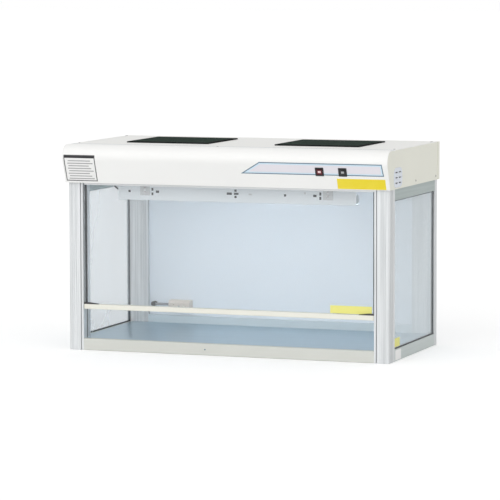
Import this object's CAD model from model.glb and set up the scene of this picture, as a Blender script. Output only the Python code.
import bpy
from math import ceil, cos, pi, radians, sin
from mathutils import Matrix, Vector


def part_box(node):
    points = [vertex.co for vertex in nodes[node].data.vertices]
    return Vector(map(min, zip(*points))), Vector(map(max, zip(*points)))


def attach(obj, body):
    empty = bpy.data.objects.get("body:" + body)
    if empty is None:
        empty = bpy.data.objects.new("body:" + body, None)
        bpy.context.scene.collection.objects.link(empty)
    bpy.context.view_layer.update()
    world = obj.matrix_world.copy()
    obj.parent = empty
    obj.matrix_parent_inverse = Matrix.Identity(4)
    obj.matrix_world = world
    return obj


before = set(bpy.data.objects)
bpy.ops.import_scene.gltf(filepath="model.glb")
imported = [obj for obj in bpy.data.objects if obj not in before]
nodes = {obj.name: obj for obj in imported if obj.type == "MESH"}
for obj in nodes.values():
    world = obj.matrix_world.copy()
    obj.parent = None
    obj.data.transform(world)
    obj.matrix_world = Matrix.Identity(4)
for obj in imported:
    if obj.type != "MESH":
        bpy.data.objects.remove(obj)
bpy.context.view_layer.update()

# Lengths are in metres, as in the frame
MM = 0.001
RIGHT = Vector((1, 0, 0))
BACK = Vector((0, 1, 0))
UP = Vector((0, 0, 1))

# Fascia and what is printed on it. A row has a rise up the fascia and its left and right end.
FASCIA_RADIUS = 40 * MM
FASCIA_SLOPE = radians(20)
STICKER = 0.08 * MM  # thickness of one printed layer
LIFT = 0.02 * MM  # between a layer and what it lies on
SHEET_STEP = 3 * MM  # longest step of a layer up the fascia
SWITCH_RISE = 64 * MM  # middle of the switches above the fascia's lower edge
SWITCH_HALF = 15.7 * MM  # half height of a switch housing and a little room
DECAL_ROWS = [(51 * MM, 66 * MM, 582 * MM), (95 * MM, 137 * MM, 578 * MM)]
DECAL_LINE = 3.4 * MM  # width of the line round the decal
DECAL_BORDER = 8 * MM  # width of its line and its blue edge together
YELLOW_ROWS = [(2 * MM, 412 * MM, 585 * MM), (40 * MM, 412 * MM, 585 * MM)]
NOTE_ROWS = [(7 * MM, -592 * MM, -474 * MM), (105 * MM, -592 * MM, -474 * MM)]
NOTE_LINE = 3.2 * MM  # width of the line round the white label
BAND_ROWS = [(94 * MM, -589 * MM, -477 * MM), (102 * MM, -589 * MM, -477 * MM)]
STROKE_COUNT = 8  # grey strokes that fill the white label
STROKE_LOW = 15  # rise of the lowest stroke, in millimetres as the next values
STROKE_PITCH = 9.6
STROKE_START = -580
STROKE_END = -484
STROKE_INDENTS = (0, 3)
STROKE_CUTS = (0, 8, 16)
STROKE_HEIGHT = 3.4 * MM
WINDOW_SIZE = (10 * MM, 7 * MM)
WINDOW_FOOT = 0.6 * MM  # foot of a rocker's window off the fascia
WINDOW_THICKNESS = 1.7 * MM

# Plain labels low on the right side and on the front panel
SIDE_LABEL_BACK = 40 * MM  # middle of the white label behind the front post
SIDE_WHITE_SIZE = (64 * MM, 34 * MM)
SIDE_YELLOW_BACK = 2 * MM  # middle of the yellow label behind that of the white one
SIDE_YELLOW_RISE = 21 * MM  # its middle above the lower rail
SIDE_YELLOW_SIZE = (68 * MM, 30 * MM)
PANEL_LABEL_X = 452 * MM
PANEL_LABEL_RISE = 16 * MM  # middle of the label above the panel's rail
PANEL_LABEL_SIZE = (150 * MM, 27 * MM)

# Bead, seals, nets, plugs and screw
BEAD_WIDTH = 2 * MM
BEAD_HEIGHT = 0.25 * MM
BEAD_END_GAP = 1 * MM
SEAL_DEPTH_IN = 4 * MM  # foot of the seal inside the post's slot
SEAL_BACK = 35 * MM  # middle of the seal behind the post's front
SEAL_WIDTH = 6 * MM
SEAL_END_GAP = 1 * MM
SEAL_THICKNESS = 3 * MM
NET_PITCH = 4 * MM
NET_STRAND = 0.8 * MM
NET_LOWER = 0.5 * MM  # height of the strands that run back
NET_UPPER = 0.6 * MM  # height of the strands that run across
SILL_PLUG_X = -80 * MM
SILL_PLUG_RADIUS = 2.6 * MM
SILL_PLUG_THICKNESS = 0.5 * MM
OUTLET_SCREW_DROP = 4 * MM  # screw below the middle of the outlet's box
OUTLET_SCREW_RADIUS = 2.4 * MM
OUTLET_SCREW_HEIGHT = 0.6 * MM

# Plugs in the holes of the lamp's batten: place as a share of its half length, then rise over the
# row of holes, width and height in millimetres
PLUGS = [
    (-0.903, 0, 8, 8),
    (-0.706, 8, 7, 10),
    (-0.706, -8, 7, 10),
    (-0.663, 0, 12, 8),
    (-0.052, 0, 19, 8),
    (0, 11, 8, 8),
    (0.006, 0, 17, 7),
    (0, -11, 8, 8),
    (0.414, -1, 8, 8),
    (0.661, 0, 12, 8),
    (0.706, 7, 7, 11),
    (0.706, -8, 7, 11),
]
PALE_PLUGS = [(0.124, -1, 12, 6), (0.579, 8, 7, 7)]
PLUG_LIFT = 0.3 * MM
BATTEN_TAB_DROP = 3 * MM
HOLE_ROW_DROP = 0.52  # row of holes below the ceiling, as a share of the batten's height

# Camera fitted to the corners of the object in the photograph
CAMERA_PLACE = (3.7136, -9.9930, 1.3884)
CAMERA_YAW = radians(20.424)
CAMERA_PITCH = radians(5.578)
CAMERA_ROLL = radians(-0.147)
CAMERA_LENS = 218.13
CAMERA_SENSOR = 36
CAMERA_REACH = 200

# Light, floor and surroundings
TUBE_GLOW = 9.0  # the lamp is lit in the photograph
FLOOR_GLOW = 0.25  # what the camera sees added to the lit floor, so that it reads white
FLOOR_COLOUR = (0.90, 0.90, 0.90)
FLOOR_REACH = 60
FLOOR_DROP = 0.5 * MM  # floor below the foot of the hood
SKY_STRENGTH = 0.72
SEEN_SKY_STRENGTH = 1.0  # what the camera, gloss and glass see of the surroundings
LAMP_DISTANCE = 5
LAMPS = [
    # Name, direction, strength and spread in degrees
    ("key_lamp", (0.35, 0.75, -0.55), 0.45, 50),
    ("front_lamp", (0.05, 0.97, -0.16), 0.60, 40),
    ("fill_lamp", (-0.8, 0.45, -0.35), 0.40, 60),
]

# Stretch of a grain that runs along one direction
ALONG_X = (0.02, 1, 1)
ALONG_Y = (1, 0.02, 1)
ALONG_Z = (1, 1, 0.02)
RELIEF_STRENGTH = 0.12
RAMP_ENDS = (0.3, 0.7)  # where a wandering colour reaches its darkest and lightest
SHARP_ANGLE = radians(28)


def link(tree, source, target):
    """Join an output socket to an input socket."""
    tree.links.new(source, target)


def new_material(name, color, rough, metallic=0.0, specular=0.5, alpha=1.0):
    """Material whose surface values are all set on the shader itself."""
    made = bpy.data.materials.new(name)
    made.use_nodes = True
    shader = made.node_tree.nodes["Principled BSDF"]
    shader.inputs["Base Color"].default_value = (*color, 1.0)
    shader.inputs["Roughness"].default_value = rough
    shader.inputs["Metallic"].default_value = metallic
    shader.inputs["Specular IOR Level"].default_value = specular
    shader.inputs["Alpha"].default_value = alpha
    return made


def shift_colour(made, color, amount, scale, stretch=(1, 1, 1)):
    """Let the base colour wander a little over the surface."""
    tree = made.node_tree
    place = tree.nodes.new("ShaderNodeTexCoord")
    spread = tree.nodes.new("ShaderNodeMapping")
    spread.inputs["Scale"].default_value = stretch
    noise = tree.nodes.new("ShaderNodeTexNoise")
    noise.inputs["Scale"].default_value = scale
    noise.inputs["Detail"].default_value = 4
    ramp = tree.nodes.new("ShaderNodeValToRGB")
    dark_end, light_end = ramp.color_ramp.elements
    dark_end.position, light_end.position = RAMP_ENDS
    dark_end.color = (*[max(0, c - amount) for c in color], 1)
    light_end.color = (*[min(1, c + amount) for c in color], 1)
    link(tree, place.outputs["Object"], spread.inputs["Vector"])
    link(tree, spread.outputs["Vector"], noise.inputs["Vector"])
    link(tree, noise.outputs["Fac"], ramp.inputs["Fac"])
    link(tree, ramp.outputs["Color"], tree.nodes["Principled BSDF"].inputs["Base Color"])


def roughen(made, scale, height, stretch=(1, 1, 1)):
    """Give the surface a fine relief."""
    tree = made.node_tree
    place = tree.nodes.new("ShaderNodeTexCoord")
    spread = tree.nodes.new("ShaderNodeMapping")
    spread.inputs["Scale"].default_value = stretch
    noise = tree.nodes.new("ShaderNodeTexNoise")
    noise.inputs["Scale"].default_value = scale
    noise.inputs["Detail"].default_value = 3
    bump = tree.nodes.new("ShaderNodeBump")
    bump.inputs["Strength"].default_value = RELIEF_STRENGTH
    bump.inputs["Distance"].default_value = height
    link(tree, place.outputs["Object"], spread.inputs["Vector"])
    link(tree, spread.outputs["Vector"], noise.inputs["Vector"])
    link(tree, noise.outputs["Fac"], bump.inputs["Height"])
    link(tree, bump.outputs["Normal"], tree.nodes["Principled BSDF"].inputs["Normal"])


def paint(name, color, rough=0.42, grain=0.1 * MM):
    """Powder coat with a faint orange peel."""
    made = new_material(name, color, rough)
    shift_colour(made, color, amount=0.012, scale=4)
    roughen(made, scale=500, height=grain)
    return made


def metal(name, color, rough, stretch=(1, 1, 1), metallic=1.0, streak=0.03):
    """Metal whose grain and streaks run along one direction."""
    made = new_material(name, color, rough, metallic=metallic)
    shift_colour(made, color, amount=streak, scale=150, stretch=stretch)
    roughen(made, scale=1200, height=0.02 * MM, stretch=stretch)
    return made


def plastic(name, color, rough):
    """Moulded plastic or rubber with a fine grain."""
    made = new_material(name, color, rough)
    shift_colour(made, color, amount=0.01, scale=20)
    roughen(made, scale=1500, height=0.05 * MM)
    return made


def dull(name, color, grain):
    """Matt fibre or foam that hardly shines, not even at a flat angle."""
    made = new_material(name, color, rough=0.95, specular=0.08)
    shift_colour(made, color, amount=0.006, scale=60)
    roughen(made, scale=900, height=grain)
    return made


def clear(name, color, alpha):
    """Thin clear sheet: lets light through and keeps a sheen."""
    made = new_material(name, color, rough=0.04, specular=0.8, alpha=alpha)
    shift_colour(made, color, amount=0.01, scale=2)
    return made


def lit(name, color, glow):
    """Milk glass that glows from inside."""
    made = new_material(name, color, rough=0.25)
    shift_colour(made, color, amount=0.01, scale=3)
    shader = made.node_tree.nodes["Principled BSDF"]
    shader.inputs["Emission Color"].default_value = (*color, 1)
    shader.inputs["Emission Strength"].default_value = glow
    return made


MATERIALS = {
    "post": metal("post_anodised", (0.68, 0.70, 0.71), 0.42, ALONG_Z, 0.35, streak=0.10),
    "rail": metal("rail_anodised", (0.40, 0.46, 0.45), 0.42, ALONG_Y, 0.45),
    "lower_rail": metal("lower_rail_anodised", (0.58, 0.63, 0.62), 0.42, ALONG_Y, 0.45),
    "shell": paint("shell_coat", (0.88, 0.88, 0.865)),
    "end": paint("end_coat", (0.77, 0.77, 0.68)),
    "cover": paint("cover_coat", (0.80, 0.80, 0.775)),
    "sill": paint("sill_coat", (0.63, 0.64, 0.60)),
    "rear_sill": paint("rear_sill_coat", (0.66, 0.74, 0.78)),
    "inside": paint("inside_coat", (0.82, 0.84, 0.84)),
    "glass": clear("side_glass", (0.78, 0.85, 0.89), 0.34),
    "front_glass": clear("front_glass", (0.84, 0.88, 0.92), 0.07),
    "rubber": plastic("black_rubber", (0.018, 0.018, 0.02), 0.6),
    "rear_panel": paint("rear_panel_coat", (0.84, 0.90, 0.96), 0.3, 0.01 * MM),
    "floor": metal("floor_steel", (0.46, 0.58, 0.66), 0.32, ALONG_X, 0.6),
    "filter_frame": metal("filter_alloy", (0.62, 0.63, 0.64), 0.4, ALONG_X),
    "paper": plastic("filter_paper", (0.86, 0.86, 0.82), 0.8),
    "zinc": metal("zinc_plate", (0.58, 0.59, 0.60), 0.4, ALONG_X),
    "cast": metal("cast_alloy", (0.45, 0.46, 0.47), 0.55),
    "wheel": plastic("wheel_plastic", (0.05, 0.05, 0.055), 0.5),
    "filter_rim": dull("filter_rim", (0.006, 0.007, 0.007), 0.05 * MM),
    "mat": dull("filter_mat", (0.018, 0.030, 0.024), 0.5 * MM),
    "net": dull("filter_net", (0.040, 0.058, 0.048), 0.05 * MM),
    "lamp": paint("lamp_coat", (0.78, 0.83, 0.86), 0.4),
    "bracket": paint("bracket_coat", (0.60, 0.62, 0.63), 0.4),
    "tube": lit("tube_glass", (0.90, 0.93, 0.96), TUBE_GLOW),
    "cord": plastic("cord_rubber", (0.02, 0.02, 0.022), 0.5),
    "ballast": paint("ballast_coat", (0.5, 0.51, 0.52)),
    "outlet": plastic("outlet_plastic", (0.80, 0.72, 0.64), 0.4),
    "conduit": plastic("conduit_plastic", (0.33, 0.34, 0.35), 0.5),
    "switch": plastic("switch_plastic", (0.018, 0.018, 0.02), 0.25),
    "red": plastic("rocker_red", (0.12, 0.010, 0.016), 0.2),
    "black": plastic("rocker_black", (0.025, 0.025, 0.028), 0.2),
    "lens": plastic("rocker_lens", (0.85, 0.62, 0.62), 0.15),
    "mark": plastic("rocker_mark", (0.42, 0.42, 0.43), 0.3),
    "vent": plastic("vent_plastic", (0.70, 0.74, 0.80), 0.5),
    "panel_rail": paint("panel_rail_coat", (0.80, 0.79, 0.71), 0.35),
    "pivot": metal("pivot_alloy", (0.6, 0.61, 0.62), 0.35, ALONG_X),
    "dark": plastic("dark_plastic", (0.04, 0.04, 0.043), 0.5),
    "screw": metal("screw_steel", (0.5, 0.5, 0.5), 0.25),
    "decal_line": plastic("decal_line", (0.10, 0.18, 0.25), 0.4),
    "decal_blue": plastic("decal_blue", (0.62, 0.76, 0.86), 0.4),
    "decal_fill": plastic("decal_fill", (0.77, 0.75, 0.80), 0.4),
    "yellow": plastic("label_yellow", (0.84, 0.68, 0.03), 0.45),
    "pale_yellow": plastic("label_pale_yellow", (0.80, 0.77, 0.22), 0.45),
    "label_white": plastic("label_white", (0.86, 0.86, 0.85), 0.45),
    "label_black": plastic("label_black", (0.012, 0.012, 0.014), 0.45),
    "label_grey": plastic("label_grey", (0.34, 0.34, 0.35), 0.45),
    "label_outline": plastic("label_outline", (0.05, 0.05, 0.055), 0.45),
}

NODE_MATERIALS = {
    "front_post_left": "post",
    "front_post_right": "post",
    "rear_post_left": "post",
    "rear_post_right": "post",
    "side_rail_lower_left": "lower_rail",
    "side_rail_lower_right": "lower_rail",
    "side_rail_upper_left": "rail",
    "side_rail_upper_right": "rail",
    "header_fascia": "shell",
    "header_top_cover": "cover",
    "header_end_left": "end",
    "header_end_right": "end",
    "header_rear_cover": "end",
    "header_base": "inside",
    "front_sill": "sill",
    "rear_sill": "rear_sill",
    "side_pane_left": "glass",
    "side_pane_right": "glass",
    "front_pane": "front_glass",
    "pane_gasket_left": "rubber",
    "pane_gasket_right": "rubber",
    "panel_seals": "rubber",
    "panel_bumpers": "rubber",
    "outlet_grommet": "rubber",
    "rear_panel": "rear_panel",
    "work_floor": "floor",
    "diffuser_screen": "inside",
    "filter_frame_left": "filter_frame",
    "filter_frame_right": "filter_frame",
    "filter_pack_left": "paper",
    "filter_pack_right": "paper",
    "fan_cradle_left": "zinc",
    "fan_cradle_right": "zinc",
    "fan_motor_left": "cast",
    "fan_motor_right": "cast",
    "impeller_left": "wheel",
    "impeller_right": "wheel",
    "prefilter_frame_left": "filter_rim",
    "prefilter_frame_right": "filter_rim",
    "prefilter_mat_left": "mat",
    "prefilter_mat_right": "mat",
    "lamp_batten": "lamp",
    "lamp_brackets": "bracket",
    "lamp_holder_left": "lamp",
    "lamp_holder_right": "lamp",
    "lamp_tube": "tube",
    "lamp_cord": "cord",
    "lamp_ballast": "ballast",
    "outlet_box": "outlet",
    "outlet_conduit": "conduit",
    "lamp_switch": "switch",
    "fan_switch": "switch",
    "lamp_rocker": "red",
    "fan_rocker": "black",
    "vent_plate": "vent",
    "panel_rail": "panel_rail",
    "panel_pivot_rod": "pivot",
    "pivot_blocks": "dark",
    "panel_clips": "dark",
    "screws": "screw",
}
for node_name, material_name in NODE_MATERIALS.items():
    piece = nodes[node_name]
    for place in piece.material_slots:
        place.material = MATERIALS[material_name]


def add_piece(name, points, faces, material_name, body="hood"):
    """Make a mesh piece that rides on a body."""
    mesh = bpy.data.meshes.new(name)
    mesh.from_pydata([tuple(p) for p in points], [], faces)
    mesh.validate()
    mesh.update()
    made = bpy.data.objects.new(name, mesh)
    bpy.context.scene.collection.objects.link(made)
    mesh.materials.append(MATERIALS[material_name])
    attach(made, body)


def join_blocks(name, blocks, material_name, body="hood"):
    """Several closed blocks, each a list of base points and a lift vector, as one piece."""
    points, faces = [], []
    for base, lift in blocks:
        start = len(points)
        count = len(base)
        points += [Vector(p) for p in base]
        points += [Vector(p) + Vector(lift) for p in base]
        faces.append([start + n for n in reversed(range(count))])
        faces.append([start + count + n for n in range(count)])
        for n in range(count):
            after = (n + 1) % count
            faces.append([start + n, start + after, start + count + after, start + count + n])
    add_piece(name, points, faces, material_name, body)


def plate(centre, across, up, width, height, lift):
    """One block for join_blocks: a rectangle round a centre, thickened along lift."""
    centre = Vector(centre)
    half_x, half_y = across * width / 2, up * height / 2
    low_left, low_right = centre - half_x - half_y, centre + half_x - half_y
    base = [low_left, low_right, centre + half_x + half_y, centre - half_x + half_y]
    if across.cross(up).dot(lift) < 0:
        base.reverse()
    return base, lift


def disc(centre, across, up, radius, lift, count=24):
    """One round block for join_blocks."""
    centre = Vector(centre)
    turns = [2 * pi * n / count for n in range(count)]
    base = [centre + across * radius * cos(t) + up * radius * sin(t) for t in turns]
    if across.cross(up).dot(lift) < 0:
        base.reverse()
    return base, lift


# The fascia's line seen from the side, worked out from its box
fascia_low, fascia_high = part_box("header_fascia")
bend_y = fascia_low.y + FASCIA_RADIUS
bend_z = fascia_high.z - FASCIA_RADIUS
slope_top_z = bend_z - FASCIA_RADIUS * sin(FASCIA_SLOPE)
slope_length = (slope_top_z - fascia_low.z) / cos(FASCIA_SLOPE)
slope_foot_y = bend_y - FASCIA_RADIUS * cos(FASCIA_SLOPE) + slope_length * sin(FASCIA_SLOPE)
SLOPE_UP = Vector((0, -sin(FASCIA_SLOPE), cos(FASCIA_SLOPE)))
SLOPE_OUT = Vector((0, -cos(FASCIA_SLOPE), -sin(FASCIA_SLOPE)))


def fascia_point(x, rise, lift):
    """Point at a distance up the fascia from its lower edge, lifted off its surface."""
    if rise <= slope_length:
        return Vector((x, slope_foot_y, fascia_low.z)) + SLOPE_UP * rise + SLOPE_OUT * lift
    turn = (rise - slope_length) / FASCIA_RADIUS - FASCIA_SLOPE
    reach = FASCIA_RADIUS + lift
    return Vector((x, bend_y - reach * cos(turn), bend_z + reach * sin(turn)))


def fascia_sheet(name, rows, layer, material_name, openings=()):
    """Printed layer that follows the fascia from its lower to its upper row.

    Each opening has its lowest and highest rise and its left and right side.
    """
    (low, low_left, low_right), (high, high_left, high_right) = rows
    edges = [rise for opening in openings for rise in opening[:2] if low < rise < high]
    stops = sorted({low, high, *edges})
    levels = [low]
    for start, stop in zip(stops, stops[1:]):
        steps = max(1, ceil((stop - start) / SHEET_STEP))
        levels += [start + (stop - start) * n / steps for n in range(1, steps + 1)]
    sides = [side for opening in openings for side in opening[2:]]
    cells = set()
    for column in range(len(sides) + 1):
        for row, (below, above) in enumerate(zip(levels, levels[1:])):
            bottom, top = openings[column // 2][:2] if column % 2 else (high, high)
            if not bottom < (below + above) / 2 < top:
                cells.add((column, row))
    inner = LIFT + layer * (STICKER + LIFT)
    points = []
    numbers = {}

    def number(corner, lift):
        """Index of a corner's point, made when it is first asked for."""
        if (corner, lift) not in numbers:
            column, row = corner
            share = (levels[row] - low) / (high - low)
            left = low_left + (high_left - low_left) * share
            right = low_right + (high_right - low_right) * share
            numbers[corner, lift] = len(points)
            points.append(fascia_point([left, *sides, right][column], levels[row], lift))
        return numbers[corner, lift]

    faces = []
    for column, row in sorted(cells):
        corners = [(column, row), (column + 1, row), (column + 1, row + 1), (column, row + 1)]
        beside = [(column, row - 1), (column + 1, row), (column, row + 1), (column - 1, row)]
        faces.append([number(corner, inner + STICKER) for corner in corners])
        faces.append([number(corner, inner) for corner in reversed(corners)])
        for corner, after, other in zip(corners, corners[1:] + corners[:1], beside):
            if other not in cells:
                outer_edge = [number(after, inner + STICKER), number(corner, inner + STICKER)]
                faces.append(outer_edge + [number(corner, inner), number(after, inner)])
    add_piece(name, points, faces, material_name)


def shrink(rows, margin):
    """The same shape with a margin taken off all round, more of it where its left end slants."""
    (low, low_left, low_right), (high, high_left, high_right) = rows
    run_left = (high_left - low_left) / (high - low)
    run_right = (high_right - low_right) / (high - low)
    left_margin = margin * (1 + run_left * run_left) ** 0.5
    left_shift, right_shift = run_left * margin, run_right * margin
    return [
        (low + margin, low_left + left_shift + left_margin, low_right + right_shift - margin),
        (high - margin, high_left - left_shift + left_margin, high_right - right_shift - margin),
    ]


# Control decal: a plain field with a slanted left end, a pale blue edge and a dark line round it
cut_outs = []
for name in ("lamp", "fan"):
    low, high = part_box(f"{name}_switch")
    sides = (low.x - LIFT, high.x + LIFT)
    cut_outs.append((SWITCH_RISE - SWITCH_HALF, SWITCH_RISE + SWITCH_HALF, *sides))
fascia_sheet("control_decal_outline", DECAL_ROWS, 0, "decal_line", cut_outs)
fascia_sheet("control_decal_edge", shrink(DECAL_ROWS, DECAL_LINE), 1, "decal_blue", cut_outs)
fascia_sheet("control_decal_field", shrink(DECAL_ROWS, DECAL_BORDER), 2, "decal_fill", cut_outs)

# Plain labels on the fascia
fascia_sheet("fascia_label_yellow", YELLOW_ROWS, 0, "yellow")
fascia_sheet("fascia_label_outline", NOTE_ROWS, 0, "label_outline")
fascia_sheet("fascia_label_white", shrink(NOTE_ROWS, NOTE_LINE), 1, "label_white")
fascia_sheet("fascia_label_band", BAND_ROWS, 2, "label_black")
for line in range(STROKE_COUNT):
    rise = (STROKE_LOW + STROKE_PITCH * line) * MM
    start = (STROKE_START + STROKE_INDENTS[line % len(STROKE_INDENTS)]) * MM
    end = (STROKE_END - STROKE_CUTS[line % len(STROKE_CUTS)]) * MM
    rows = [(rise, start, end), (rise + STROKE_HEIGHT, start, end)]
    fascia_sheet(f"fascia_label_line_{line}", rows, 2, "label_grey")

# Windows of the rockers, which tilt with them
for name, material_name in (("lamp", "lens"), ("fan", "mark")):
    low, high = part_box(f"{name}_rocker")
    middle_x = (low.x + high.x) / 2
    centre = fascia_point(middle_x, SWITCH_RISE, WINDOW_FOOT)
    block = plate(centre, RIGHT, SLOPE_UP, *WINDOW_SIZE, SLOPE_OUT * WINDOW_THICKNESS)
    join_blocks(f"{name}_rocker_window", [block], material_name, f"{name}_rocker")

# Labels low on the right side and on the front panel
post_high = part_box("front_post_right")[1]
rail_high_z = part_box("side_rail_lower_right")[1].z
pane_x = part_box("side_pane_right")[1].x
label_y = post_high.y + SIDE_LABEL_BACK
centre = (post_high.x, label_y, rail_high_z / 2)
block = plate(centre, BACK, UP, *SIDE_WHITE_SIZE, RIGHT * STICKER)
join_blocks("side_label_white", [block], "label_white")
centre = (pane_x, label_y + SIDE_YELLOW_BACK, rail_high_z + SIDE_YELLOW_RISE)
block = plate(centre, BACK, UP, *SIDE_YELLOW_SIZE, RIGHT * STICKER)
join_blocks("side_label_yellow", [block], "pale_yellow")
rail_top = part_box("panel_rail")[1].z
centre = (PANEL_LABEL_X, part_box("front_pane")[0].y, rail_top + PANEL_LABEL_RISE)
block = plate(centre, RIGHT, UP, *PANEL_LABEL_SIZE, -BACK * STICKER)
join_blocks("panel_label_yellow", [block], "pale_yellow", "front_panel")

# Grey sealing bead along the seam of fascia and top cover
bead_length = fascia_high.x - fascia_low.x - 2 * BEAD_END_GAP
seam_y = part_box("header_top_cover")[0].y
block = plate((0, seam_y, fascia_high.z), RIGHT, BACK, bead_length, BEAD_WIDTH, UP * BEAD_HEIGHT)
join_blocks("header_seam_bead", [block], "decal_line")

# Black seal strips in the slots of the front posts
for side, name in ((-1, "left"), (1, "right")):
    low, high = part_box(f"front_post_{name}")
    inner_x = high.x if side < 0 else low.x
    centre = (inner_x + side * SEAL_DEPTH_IN, low.y + SEAL_BACK, (low.z + high.z) / 2)
    seal_height = high.z - low.z - 2 * SEAL_END_GAP
    block = plate(centre, BACK, UP, SEAL_WIDTH, seal_height, RIGHT * -side * SEAL_THICKNESS)
    join_blocks(f"post_seal_{name}", [block], "rubber")

# Open net over each prefilter mat
for name in ("left", "right"):
    low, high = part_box(f"prefilter_mat_{name}")
    width, depth = high.x - low.x, high.y - low.y
    middle_x, middle_y = (low.x + high.x) / 2, (low.y + high.y) / 2
    strands = []
    for n in range(1, int(width / NET_PITCH)):
        centre = (low.x + n * NET_PITCH, middle_y, high.z)
        strands.append(plate(centre, RIGHT, BACK, NET_STRAND, depth, UP * NET_LOWER))
    for n in range(1, int(depth / NET_PITCH)):
        centre = (middle_x, low.y + n * NET_PITCH, high.z)
        strands.append(plate(centre, RIGHT, BACK, width, NET_STRAND, UP * NET_UPPER))
    join_blocks(f"prefilter_net_{name}", strands, "net")

# Dark and pale plugs in the holes of the batten's web
batten_low, batten_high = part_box("lamp_batten")
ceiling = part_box("front_post_left")[1].z
web_height = ceiling - batten_low.z - BATTEN_TAB_DROP
hole_row = ceiling - web_height * HOLE_ROW_DROP
for name, places, material_name in (("dark", PLUGS, "rubber"), ("pale", PALE_PLUGS, "bracket")):
    plugs = []
    for share, rise, width, height in places:
        centre = (share * batten_high.x, batten_low.y + PLUG_LIFT, hole_row + rise * MM)
        plugs.append(plate(centre, RIGHT, UP, width * MM, height * MM, -BACK * 2 * PLUG_LIFT))
    join_blocks(f"lamp_plugs_{name}", plugs, material_name)

# Small plug in the front sill
low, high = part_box("front_sill")
centre = (SILL_PLUG_X, low.y, high.z / 2)
block = disc(centre, RIGHT, UP, SILL_PLUG_RADIUS, -BACK * SILL_PLUG_THICKNESS)
join_blocks("sill_plug", [block], "decal_line")

# Screw between the two sockets
low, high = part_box("outlet_box")
centre = ((low.x + high.x) / 2, low.y, (low.z + high.z) / 2 - OUTLET_SCREW_DROP)
block = disc(centre, RIGHT, UP, OUTLET_SCREW_RADIUS, -BACK * OUTLET_SCREW_HEIGHT)
join_blocks("outlet_screw", [block], "screw")


def soften(piece):
    """Shade rounded faces smoothly and keep the edges."""
    piece.data.shade_smooth()
    piece.data.set_sharp_from_angle(angle=SHARP_ANGLE)


for piece in nodes.values():
    soften(piece)


def stage_material():
    """Pale floor that reads white and keeps the object's shadow."""
    made = new_material("stage_floor", FLOOR_COLOUR, rough=0.9, specular=0.1)
    tree = made.node_tree
    path = tree.nodes.new("ShaderNodeLightPath")
    glow = tree.nodes.new("ShaderNodeEmission")
    glow.inputs["Color"].default_value = (1, 1, 1, 1)
    scale = tree.nodes.new("ShaderNodeMath")
    scale.operation = "MULTIPLY"
    scale.inputs[1].default_value = FLOOR_GLOW
    both = tree.nodes.new("ShaderNodeAddShader")
    link(tree, path.outputs["Is Camera Ray"], scale.inputs[0])
    link(tree, scale.outputs[0], glow.inputs["Strength"])
    link(tree, tree.nodes["Principled BSDF"].outputs["BSDF"], both.inputs[0])
    link(tree, glow.outputs["Emission"], both.inputs[1])
    link(tree, both.outputs["Shader"], tree.nodes["Material Output"].inputs["Surface"])
    return made


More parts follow.
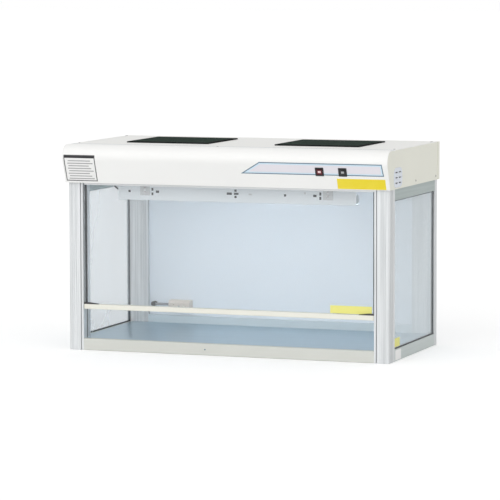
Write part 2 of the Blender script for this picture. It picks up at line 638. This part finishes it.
def add_stage():
    """Pale floor and white surroundings that light the object softly."""
    mesh = bpy.data.meshes.new("stage_floor")
    corners = [(x * FLOOR_REACH, y * FLOOR_REACH, 0) for x, y in ((-1, -1), (1, -1), (1, 1), (-1, 1))]
    mesh.from_pydata(corners, [], [(0, 1, 2, 3)])
    floor = bpy.data.objects.new("stage_floor", mesh)
    bpy.context.scene.collection.objects.link(floor)
    mesh.materials.append(stage_material())
    floor.location.z = -FLOOR_DROP

    world = bpy.data.worlds.new("studio")
    bpy.context.scene.world = world
    world.use_nodes = True
    tree = world.node_tree
    sky = tree.nodes["Background"]
    sky.inputs["Color"].default_value = (1, 1, 1, 1)
    sky.inputs["Strength"].default_value = SKY_STRENGTH
    white = tree.nodes.new("ShaderNodeBackground")
    white.inputs["Color"].default_value = (1, 1, 1, 1)
    white.inputs["Strength"].default_value = SEEN_SKY_STRENGTH
    path = tree.nodes.new("ShaderNodeLightPath")
    mix = tree.nodes.new("ShaderNodeMixShader")
    seen = tree.nodes.new("ShaderNodeMath")
    seen.operation = "MAXIMUM"
    seen_too = tree.nodes.new("ShaderNodeMath")
    seen_too.operation = "MAXIMUM"
    link(tree, path.outputs["Is Camera Ray"], seen.inputs[0])
    link(tree, path.outputs["Is Glossy Ray"], seen.inputs[1])
    link(tree, seen.outputs[0], seen_too.inputs[0])
    link(tree, path.outputs["Is Transmission Ray"], seen_too.inputs[1])
    link(tree, seen_too.outputs[0], mix.inputs["Fac"])
    link(tree, sky.outputs["Background"], mix.inputs[1])
    link(tree, white.outputs["Background"], mix.inputs[2])
    link(tree, mix.outputs["Shader"], tree.nodes["World Output"].inputs["Surface"])


def add_lamp(name, direction, strength, spread):
    """Wide soft lamp far away, shining along a direction."""
    light = bpy.data.lights.new(name, "SUN")
    light.energy = strength
    light.angle = radians(spread)
    lamp = bpy.data.objects.new(name, light)
    bpy.context.scene.collection.objects.link(lamp)
    lamp.location = -Vector(direction) * LAMP_DISTANCE
    lamp.rotation_mode = "QUATERNION"
    lamp.rotation_quaternion = Vector(direction).to_track_quat("-Z", "Y")


def add_camera():
    """Camera at the photograph's viewing angle."""
    ahead = Vector((-sin(CAMERA_YAW), cos(CAMERA_YAW), 0))
    right = Vector((cos(CAMERA_YAW), sin(CAMERA_YAW), 0))
    look = ahead * cos(CAMERA_PITCH) - UP * sin(CAMERA_PITCH)
    top = ahead * sin(CAMERA_PITCH) + UP * cos(CAMERA_PITCH)
    side = right * cos(CAMERA_ROLL) + top * sin(CAMERA_ROLL)
    crown = top * cos(CAMERA_ROLL) - right * sin(CAMERA_ROLL)
    data = bpy.data.cameras.new("camera")
    data.lens = CAMERA_LENS
    data.sensor_width = CAMERA_SENSOR
    data.clip_end = CAMERA_REACH
    camera = bpy.data.objects.new("camera", data)
    bpy.context.scene.collection.objects.link(camera)
    turn = Matrix((side, crown, -look)).transposed().to_4x4()
    camera.matrix_world = Matrix.Translation(CAMERA_PLACE) @ turn
    bpy.context.scene.camera = camera


add_stage()
for name, direction, strength, spread in LAMPS:
    add_lamp(name, direction, strength, spread)
add_camera()
bpy.context.scene.view_settings.view_transform = "Standard"
